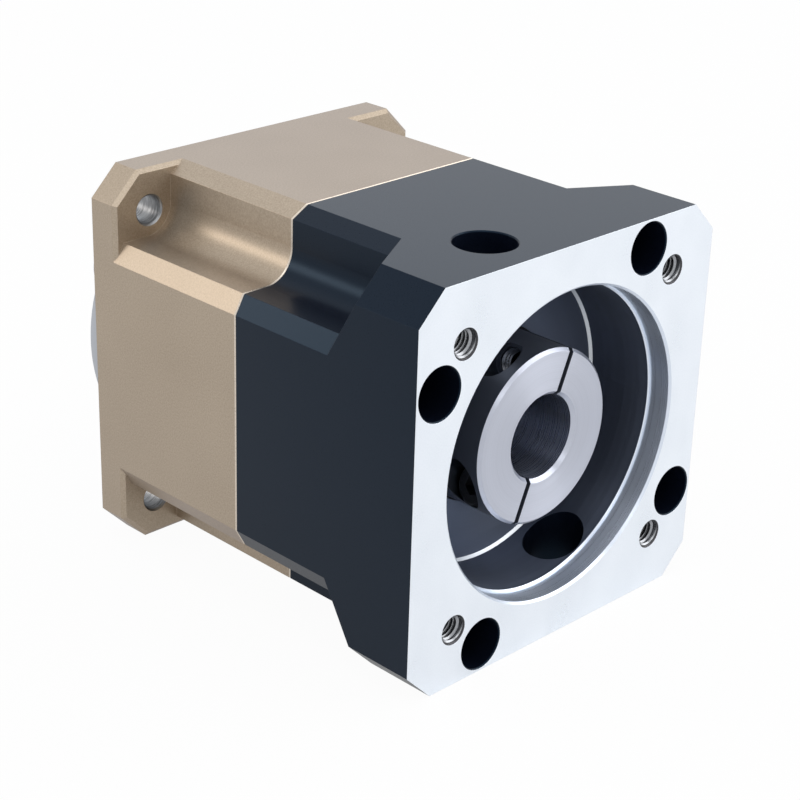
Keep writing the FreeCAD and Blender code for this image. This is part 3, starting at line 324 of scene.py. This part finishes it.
BLACK_OXIDE = grained_metal("black_oxide", (0.020, 0.021, 0.024), (0.035, 0.036, 0.040), 0.36, metal=0.6)
HUB_THREAD = grained_metal("hub_thread_steel", (0.16, 0.17, 0.19), (0.24, 0.25, 0.28), 0.30)
GEAR_STEEL = grained_metal("gear_steel", (0.34, 0.34, 0.35), (0.46, 0.46, 0.47), 0.30)
BALL_STEEL = grained_metal("bearing_steel", (0.66, 0.66, 0.67), (0.74, 0.74, 0.75), 0.12, grain_mm=2.0)
SPRING_STEEL = grained_metal("spring_steel", (0.06, 0.06, 0.062), (0.10, 0.10, 0.105), 0.40, metal=0.8)
KEY_STEEL = grained_metal("key_steel", (0.42, 0.42, 0.43), (0.55, 0.55, 0.56), 0.28)
BRONZE = grained_metal("bronze", (0.52, 0.33, 0.14), (0.66, 0.45, 0.21), 0.34)
DRILLED = grained_metal("drilled_aluminium", (0.30, 0.31, 0.33), (0.42, 0.43, 0.45), 0.30, grain_mm=0.3)
# Painted shade: this near-black colour stands for the shade on the tapped hole walls between the ridges, not
# for their bare metal.
PAINTED_THREAD_SHADE = grained_metal("painted_thread_shade", (0.045, 0.045, 0.05), (0.08, 0.08, 0.085), 0.40, grain_mm=0.3)
BARE_RIM = grained_metal("bare_rim", (0.60, 0.53, 0.45), (0.74, 0.66, 0.57), 0.30, grain_mm=0.4)
RUBBER = grained_metal("seal_rubber", (0.012, 0.012, 0.013), (0.020, 0.020, 0.021), 0.55, metal=0.0)
CAGE_PLASTIC = grained_metal("cage_plastic", (0.62, 0.55, 0.38), (0.70, 0.63, 0.46), 0.45, metal=0.0)
print("small-part finishes ready")

# %% [markdown]
# ## Drilled through the ears
#
# A drill leaves rings one above the other down the wall of its hole. The pattern therefore only needs the
# place along the hole, which is the Y axis for all four ears, so one finish serves them all.

# %% Finish of the drilled ear holes
def drilled_wall(name, dark, light, rough):
    material, tree = new_finish(name)
    place = model_place(tree)
    rings = noise(tree, stretched(tree, place, (0.12, 1.0, 0.12)), 0.35, detail=3.0)
    shader = add_node(tree, "ShaderNodeBsdfPrincipled", {
        "Base Color": mix_colours(tree, span(tree, rings, 0.35, 0.65, 0.0, 1.0), dark, light),
        "Metallic": 1.0,
        "Roughness": rough,
        "Normal": bumped(tree, rings, 0.02, 0.6),
    })
    finish_output(tree, shader)
    return material


DRILLED_WALL = drilled_wall("drilled_wall", (0.16, 0.16, 0.165), (0.36, 0.37, 0.38), 0.42)
print("drilled finish:", DRILLED_WALL.name)

# %% [markdown]
# ## Giving a solid its finishes
#
# One solid often has several finishes: the adapter is black, but its face and mouth are bare. The mesh must
# stay as it is, so each face gets a material slot by where it lies and which way it looks. A rule is a test
# of a face's middle and normal, and the last rule that fits wins. A normal's Y part is near 0 on a wall along
# the gear axis, near 1 on a face square to it, and between the two on a bevel. Small helpers measure the
# distance from the axis or from one of four holes.

# %% Finish helpers
TOUCH = 0.02 * MM
MARGIN = 0.05 * MM
WIDE_MARGIN = 0.10 * MM


def finish(node, base, rules=()):
    """Give a solid its base finish, and other finishes to the faces that a rule picks."""
    mesh = nodes[node].data
    mesh.materials.clear()
    mesh.materials.append(base)
    counts = []
    for polygon in mesh.polygons:
        polygon.material_index = 0
    for slot, (material, test) in enumerate(rules, start=1):
        mesh.materials.append(material)
        picked = [polygon for polygon in mesh.polygons if test(polygon.center, polygon.normal)]
        for polygon in picked:
            polygon.material_index = slot
        counts.append(f"{material.name} {len(picked)}")
    print(node, len(mesh.polygons), "faces;", ", ".join(counts) if counts else base.name)


def from_axis(place, x=0.0, z=0.0):
    return math.hypot(place.x - x, place.z - z)


def near_line(place, centres, radius):
    """True close to one of the lines along Y through the given centres."""
    return any(from_axis(place, x, z) < radius for x, z in centres)


def on_circle(radius):
    """Four centres on a circle, one in each corner of the square body."""
    for quarter in range(4):
        turn = math.radians(45 + 90 * quarter)
        yield radius * math.cos(turn), radius * math.sin(turn)


def inward(place, normal):
    """True where a face looks towards the gear axis."""
    return normal.x * place.x + normal.z * place.z < 0


print("solids to finish:", len(nodes))

# %% [markdown]
# ## The champagne housing
#
# Dyed all over, then cut bare where it has to be exact: the round spigot that centres the gearbox, the
# face it bolts to, the seal's seat. The ear holes were drilled last, so they are bare too, and the thin bevel
# that meets the black adapter has lost its dye and shows as a bright line.

# %% Finish the output housing
EAR_CIRCLE = 50.0 * MM
EAR_DRILLING = 3.8 * MM
PILOT_RADIUS = 40.0 * MM
PILOT_START = OUTPUT_FACE + 0.2 * MM
BEVEL_END = PARTING + 0.6 * MM
INSIDE_SHARE = 0.6


def on_output_face(place, normal):
    return OUTPUT_FACE - MARGIN < place.y < PILOT_START


def on_pilot(place, normal):
    return place.y >= PILOT_START


def in_housing(place, normal):
    return from_axis(place) < PILOT_RADIUS and inward(place, normal)


def in_ear_hole(place, normal):
    return near_line(place, on_circle(EAR_CIRCLE), EAR_DRILLING) and abs(normal.y) < 0.9


def on_parting_bevel(place, normal):
    outside = max(abs(place.x), abs(place.z)) > INSIDE_SHARE * BODY_HALF
    return outside and place.y < BEVEL_END and 0.3 < -normal.y < 0.95


finish("output_housing", CHAMPAGNE, [
    (MILLED_GREY, on_output_face),
    (TURNED_GREY, on_pilot),
    (TURNED_GREY, in_housing),
    (DRILLED_WALL, in_ear_hole),
    (BARE_RIM, on_parting_bevel),
])

# %% [markdown]
# ## The black adapter
#
# The adapter is dyed black inside and out. The face that takes the motor is then milled, and the mouth that
# centres the motor is bored, down to a small shoulder. The four threads were cut after the dye as well. The
# recess behind the mouth was turned before the dye, so it is smoother than the blasted outside and mirrors
# its surroundings softly.

# %% Finish the input adapter
MOUTH_EDGE = 35.6 * MM
SHOULDER_END = INPUT_FACE + 5.9 * MM
RECESS_RADIUS = 34.4 * MM
RECESS_FLOOR = INPUT_FACE + 22.4 * MM
CORNER_BEVEL = 0.7 * MM
SCREW_CIRCLE = 45.0 * MM
THREAD_COUNTERSINK = 3.45 * MM
THREAD_HOLE_END = INPUT_FACE + 17.0 * MM


def on_input_face(place, normal):
    return place.y < INPUT_FACE + TOUCH


def in_mouth(place, normal):
    return INPUT_FACE + TOUCH < place.y < SHOULDER_END and from_axis(place) < MOUTH_EDGE


def in_recess(place, normal):
    deep_enough = SHOULDER_END <= place.y < RECESS_FLOOR + WIDE_MARGIN
    return deep_enough and from_axis(place) < RECESS_RADIUS + WIDE_MARGIN


def on_recess_corner(place, normal):
    near_wall = from_axis(place) > RECESS_RADIUS - CORNER_BEVEL
    near_floor = RECESS_FLOOR - CORNER_BEVEL < place.y < RECESS_FLOOR - MARGIN
    return in_recess(place, normal) and near_wall and near_floor and 0.4 < abs(normal.y) < 0.95


def in_motor_thread(place, normal):
    deep_enough = INPUT_FACE + TOUCH < place.y < THREAD_HOLE_END
    return deep_enough and near_line(place, on_circle(SCREW_CIRCLE), THREAD_COUNTERSINK)


finish("input_adapter", BLACK_ANODISING, [
    (MILLED, on_input_face),
    (TURNED_ALUMINIUM, in_mouth),
    (TURNED_BLACK, in_recess),
    (CUT_EDGE, on_recess_corner),
    # painted shade on the walls of the motor's tapped holes
    (PAINTED_THREAD_SHADE, in_motor_thread),
])

# %% [markdown]
# ## The split hub
#
# The hub is blackened steel. Its face, the bevel round it and the bore were cut afterwards and shine. The
# slits and the screw seats stay black.

# %% Finish the input shaft
BORE_RADII = (9.2 * MM, 9.9 * MM)
BORE_END = HUB_FACE + 31.0 * MM
HUB_BEVEL_END = HUB_FACE + 0.85 * MM


def on_hub_face(place, normal):
    return place.y < HUB_BEVEL_END and normal.y < -0.3


def in_motor_bore(place, normal):
    on_wall = BORE_RADII[0] < from_axis(place) < BORE_RADII[1] and inward(place, normal)
    return on_wall and abs(normal.y) < 0.3 and place.y < BORE_END


finish("input_shaft", HUB_BLACK, [
    (TURNED_STEEL, on_hub_face),
    (BORE_STEEL, in_motor_bore),
])

# %% [markdown]
# ## The parts that are hidden or half seen
#
# The gear train can't be seen from outside, but someone may open the model, so each part gets what it is
# made of.

# %% Finish the other solids
SHAFT_START = 11.0 * MM


def on_output_shaft(place, normal):
    return place.y > SHAFT_START and abs(normal.y) < 0.5


finish("planet_carrier", TURNED_STEEL, [(GROUND_STEEL, on_output_shaft)])
made_of = {
    KEY_STEEL: ["output_key"],
    GEAR_STEEL: ["ring_gear", "sun_gear"],
    BLACK_OXIDE: ["case_screws", "clamp_screws"],
    BRONZE: ["thrust_washers"],
    RUBBER: ["output_seal", "input_seal", "case_seal_ring"],
    SPRING_STEEL: ["output_seal_spring", "input_seal_spring"],
    BALL_STEEL: [],
    CAGE_PLASTIC: [],
}
made_of[SPRING_STEEL] += [f"{place}_clip" for place in ("input_bearing", "input_shaft", "output_shaft")]
for planet in (1, 2, 3):
    made_of[GEAR_STEEL].append(f"planet_gear_{planet}")
    made_of[BALL_STEEL] += [f"planet_pin_{planet}", f"planet_needles_{planet}"]
    made_of[CAGE_PLASTIC].append(f"needle_cage_{planet}")
for bearing in ("rear", "front", "input"):
    made_of[BALL_STEEL] += [f"{bearing}_bearing_{piece}" for piece in ("outer_ring", "inner_ring", "balls")]
    made_of[CAGE_PLASTIC].append(f"{bearing}_bearing_cage")
for material, names in made_of.items():
    for name in names:
        finish(name, material)

# %% [markdown]
# ## Cut threads
#
# A thread is a ridge that climbs round the wall of its hole. It could be a texture, but the holes are open
# to view and the ridges catch light one by one, so they are real: a small trapezium is carried along a
# helix. The ridge starts at the hole's wall and reaches inwards by the thread's depth, and it fades out at
# both ends as a tap leaves it. The section is written as shares of the depth and of the pitch.

# %% Thread maker
STEPS_PER_TURN = 36
DEPTH_SHARE = 0.54
FADE_TURNS = 0.6
RIDGE_SECTION = [(0.04, -0.42), (-1.0, -0.08), (-1.0, 0.08), (0.04, 0.42)]
RIDGE_ANGLE = math.radians(40.0)
print("ridge steps in a turn:", STEPS_PER_TURN, "and sides of its section:", len(RIDGE_SECTION) - 1)


def cut_thread(name, mouth, inward_axis, radius_mm, pitch_mm, length_mm, body, material):
    """A ridge inside a hole: mouth is where it starts, inward_axis the way into the hole."""
    axis = Vector(inward_axis).normalized()
    side = axis.orthogonal().normalized()
    other = axis.cross(side)
    depth = DEPTH_SHARE * pitch_mm
    turns = length_mm / pitch_mm
    steps = int(turns * STEPS_PER_TURN)
    shape = bmesh.new()
    rows = []
    for step in range(steps + 1):
        share = step / steps
        fade = min(1.0, share * turns / FADE_TURNS, (1.0 - share) * turns / FADE_TURNS)
        angle = 2 * math.pi * turns * share
        out = side * math.cos(angle) + other * math.sin(angle)
        row = []
        for reach, along in RIDGE_SECTION:
            height = reach * depth * (fade if reach < 0 else 1.0)
            spot = out * (radius_mm + height) + axis * (share * length_mm + along * pitch_mm)
            row.append(shape.verts.new(Vector(mouth) + spot * MM))
        rows.append(row)
    for before, after in zip(rows, rows[1:]):
        for index in range(len(RIDGE_SECTION) - 1):
            shape.faces.new((before[index], before[index + 1], after[index + 1], after[index]))
    bmesh.ops.recalc_face_normals(shape, faces=shape.faces)
    mesh = bpy.data.meshes.new(name)
    shape.to_mesh(mesh)
    shape.free()
    ridge = bpy.data.objects.new(name, mesh)
    bpy.context.scene.collection.objects.link(ridge)
    mesh.materials.append(material)
    mesh.shade_smooth()
    mesh.set_sharp_from_angle(angle=RIDGE_ANGLE)
    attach(ridge, body)
    print(name, round(turns, 1), "turns,", len(mesh.polygons), "faces")


# %% [markdown]
# ## Threads in the motor face
#
# Four tapped holes take the motor's screws. The countersink at the mouth has no thread, so each ridge starts
# just below it. The walls between the ridges are painted near-black as painted shade, standing for the shade
# deep in the tapped holes.

# %% Threads in the motor face
COUNTERSINK_DEPTH = 0.55 * MM
for number, (x, z) in enumerate(on_circle(SCREW_CIRCLE), start=1):
    cut_thread(f"motor_thread_{number}", mouth=(x, INPUT_FACE + COUNTERSINK_DEPTH, z), inward_axis=(0, 1, 0),
               radius_mm=3.0, pitch_mm=1.0, length_mm=13.0, body="housing", material=DRILLED)

# %% [markdown]
# ## Threads of the clamping hub and of the output shaft
#
# Each half of the hub holds one clamping screw in a tapped hole. The screws lie square to the slits, and the
# slits stand at a slant, so the two directions are worked out once from the slits' angle to the level.

# %% Threads in the hub and in the shaft end
SLIT_ANGLE = math.radians(67.5)
along_slit = Vector((math.cos(SLIT_ANGLE), 0.0, math.sin(SLIT_ANGLE)))
across_slit = Vector((-math.sin(SLIT_ANGLE), 0.0, math.cos(SLIT_ANGLE)))
CLAMP_OFFSET = 13.6 * MM
CLAMP_PLACE = HUB_FACE + 7.0 * MM
THREAD_START = 9.4 * MM
SCREW_TIP = 5.4 * MM
TIP_GAP_MM = 0.2
CENTRE_COUNTERSINK = 0.9 * MM
for number, sign in enumerate((1, -1), start=1):
    start = along_slit * CLAMP_OFFSET * sign + across_slit * THREAD_START * sign
    start.y = CLAMP_PLACE
    cut_thread(f"clamp_thread_{number}", mouth=start, inward_axis=-across_slit * sign,
               radius_mm=3.0, pitch_mm=1.0, length_mm=(THREAD_START - SCREW_TIP) / MM - TIP_GAP_MM,
               body="input", material=HUB_THREAD)
thread_mouth = (0.0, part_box("planet_carrier")[1].y - CENTRE_COUNTERSINK, 0.0)
cut_thread("centre_thread", mouth=thread_mouth, inward_axis=(0, -1, 0),
           radius_mm=4.0, pitch_mm=1.25, length_mm=16.0,
           body="carrier", material=TURNED_STEEL)

# %% [markdown]
# ## Smooth walls
#
# The solids arrive as flat facets. Shading them smooth and marking as sharp only the edges above an angle
# makes a bored wall look bored, while a bevel of 45 degrees keeps its line.

# %% Smooth shading
SHARP_ANGLE = math.radians(28.0)
for item in nodes.values():
    item.data.shade_smooth()
    item.data.set_sharp_from_angle(angle=SHARP_ANGLE)
print(len(nodes), "solids shaded")

# %% [markdown]
# ## Studio floor and background
#
# The picture has a white background. Pouring light on a white floor would wash out the metal, so the floor
# glows, but only for the camera and for rays that the metal mirrors. To the camera it is pale, with a trace
# of the object's soft shadow. In the metal it is weaker, so the sides darken a little towards the floor.

# %% Floor
FLOOR_HALF = 6.0
floor_mesh = bpy.data.meshes.new("studio_floor")
corners = [(x * FLOOR_HALF, y * FLOOR_HALF, FLOOR_LEVEL) for x, y in ((-1, -1), (1, -1), (1, 1), (-1, 1))]
floor_mesh.from_pydata(corners, [], [(0, 1, 2, 3)])
floor = bpy.data.objects.new("studio_floor", floor_mesh)
bpy.context.scene.collection.objects.link(floor)


def seen_directly(tree):
    rays = add_node(tree, "ShaderNodeLightPath")
    pair = {0: rays.outputs["Is Camera Ray"], 1: rays.outputs["Is Glossy Ray"]}
    first = add_node(tree, "ShaderNodeMath", pair, operation="MAXIMUM").outputs[0]
    pair = {0: first, 1: rays.outputs["Is Transmission Ray"]}
    return add_node(tree, "ShaderNodeMath", pair, operation="MAXIMUM").outputs[0]


CAMERA_GLOW = 0.96
MIRROR_GLOW = 0.62
paper, tree = new_finish("studio_paper")
fibres = noise(tree, model_place(tree), grain_mm=40.0)
paper_colour = mix_colours(tree, fibres, (0.86, 0.865, 0.875), (0.88, 0.885, 0.89))
lit = add_node(tree, "ShaderNodeBsdfDiffuse", {"Color": paper_colour})
glow = add_node(tree, "ShaderNodeEmission", {"Color": (1.0, 1.0, 1.0, 1.0), "Strength": 1.0})
mirrored = span(tree, seen_directly(tree), 0.0, 1.0, 0.0, MIRROR_GLOW)
by_camera = add_node(tree, "ShaderNodeLightPath").outputs["Is Camera Ray"]
terms = {0: by_camera, 1: CAMERA_GLOW - MIRROR_GLOW, 2: mirrored}
share = add_node(tree, "ShaderNodeMath", terms, operation="MULTIPLY_ADD").outputs[0]
blend = add_node(tree, "ShaderNodeMixShader", {0: share, 1: lit.outputs[0], 2: glow.outputs[0]})
finish_output(tree, blend)
floor_mesh.materials.append(paper)
print("floor at", round(FLOOR_LEVEL / MM, 1), "mm")

# %% [markdown]
# ## A pale tent
#
# Metal shows its surroundings more than its own colour. A product photographer therefore hangs a white tent
# round it. The world here is that tent: white where it is seen or mirrored, and dimmer where it only lights,
# so that the lamps can still shape the forms.

# %% World
world = bpy.data.worlds.new("studio_tent")
bpy.context.scene.world = world
world.use_nodes = True
tree = world.node_tree
tree.nodes.clear()
TENT_LIGHT = 0.50
strength = span(tree, seen_directly(tree), 0.0, 1.0, TENT_LIGHT, 1.0)
tent = add_node(tree, "ShaderNodeBackground", {"Color": (0.985, 0.992, 1.0, 1.0), "Strength": strength})
add_node(tree, "ShaderNodeOutputWorld", {"Surface": tent.outputs[0]})
print("tent lights at", TENT_LIGHT, "of what is seen of it")

# %% [markdown]
# ## Soft lamps
#
# One lamp stands high behind the object: the tops mirror it at a flat angle and turn paler than the sides,
# and one straight above fills them. A key lamp above the camera and a wide one on the right draw the bright
# arcs in the turned mouth. A small one on the left draws a line along the corner hollows. All are panels and
# not spots, because a spot would burn out wherever blasted metal mirrors it.

# %% Lamps
def soft_lamp(name, place, aim, size, power, colour=(1.0, 1.0, 1.0)):
    data = bpy.data.lights.new(name, "AREA")
    data.shape = "RECTANGLE"
    data.size, data.size_y = size
    data.energy = power
    data.color = colour
    lamp = bpy.data.objects.new(name, data)
    lamp.location = place
    lamp.rotation_euler = (Vector(aim) - Vector(place)).to_track_quat("-Z", "Y").to_euler()
    bpy.context.scene.collection.objects.link(lamp)
    print(name, power, "W, panel", size, "m")


MIDDLE = (0.0, -0.03, 0.0)
soft_lamp("back_panel", (0.62, 0.62, 0.62), MIDDLE, (0.9, 0.6), 0.95, (0.74, 0.86, 1.0))
soft_lamp("overhead_panel", (0.0, 0.05, 0.95), MIDDLE, (0.7, 0.7), 2.0)
soft_lamp("key_panel", (-0.42, -0.55, 0.72), MIDDLE, (0.45, 0.45), 0.9)
soft_lamp("front_right_panel", (1.00, -1.00, 0.66), MIDDLE, (1.6, 1.2), 11.5)
soft_lamp("left_panel", (-0.64, 0.62, 0.39), MIDDLE, (0.30, 0.30), 1.20, (1.0, 0.93, 0.86))

# %% [markdown]
# ## Camera
#
# The viewpoint was found from the corners of the body in the picture: it looks down from the left of the
# input side through a long lens, and the horizon leans by nearly two degrees. The camera is placed by
# angles round the point it aims at, so that each number can be understood and changed by itself.

# %% Camera
AZIMUTH = math.radians(-45.304)
ELEVATION = math.radians(24.119)
LEAN = math.radians(1.757)
DISTANCE = 451.86 * MM
AIM = Vector((-2.57, -55.12, -4.27)) * MM
LENS_MM = 90.706
SENSOR_MM = 36.0
NEAREST = 10.0 * MM

reach = math.cos(ELEVATION)
back = Vector((math.sin(AZIMUTH) * reach, -math.cos(AZIMUTH) * reach, math.sin(ELEVATION)))
level = Vector((math.cos(AZIMUTH), math.sin(AZIMUTH), 0.0))
upright = back.cross(level)
right = level * math.cos(LEAN) + upright * math.sin(LEAN)
up = back.cross(right)
camera_data = bpy.data.cameras.new("picture_camera")
camera_data.lens = LENS_MM
camera_data.sensor_width = SENSOR_MM
camera_data.clip_start = NEAREST
camera = bpy.data.objects.new("picture_camera", camera_data)
rotation = Matrix((right, up, back)).transposed().to_4x4()
camera.matrix_world = Matrix.Translation(AIM + back * DISTANCE) @ rotation
bpy.context.scene.collection.objects.link(camera)
bpy.context.scene.camera = camera
bpy.context.scene.view_settings.view_transform = "Standard"
print("camera at", [round(value, 4) for value in camera.location])
